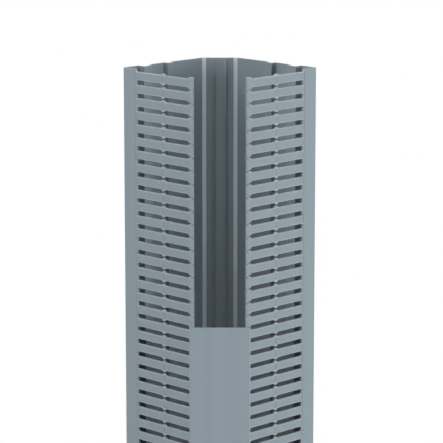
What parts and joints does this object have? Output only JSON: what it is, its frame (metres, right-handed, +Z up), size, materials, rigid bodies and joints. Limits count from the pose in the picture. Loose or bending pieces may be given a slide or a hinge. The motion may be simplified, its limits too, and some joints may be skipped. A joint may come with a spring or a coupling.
{
  "type": "corner wiring duct",
  "caption": "Slotted corner wiring duct: a square tube turned 45 degrees, with flexible finger walls and a clip-on cover over the mouth.",
  "frame": {"origin": "on the floor at the bottom end, in the middle of the section's width and depth", "axes": "+Z up along the duct's length, -Y out of the mouth through the cover, +Y towards the enclosure's corner"},
  "size_m": [0.182, 0.1482, 1],
  "materials": {
    "duct_pvc": "satin grey rigid PVC, extruded and punched",
    "cover_pvc": "satin grey rigid PVC, extruded"
  },
  "bodies": {
    "duct": {"duct_body": "duct_pvc"},
    "cover": {"cover": "cover_pvc"}
  },
  "joints": [
    {"name": "cover_slide", "type": "slide", "parent": "duct", "child": "cover", "axis": [0, 0, 1], "range_m": [0, 0.235]}
  ]
}
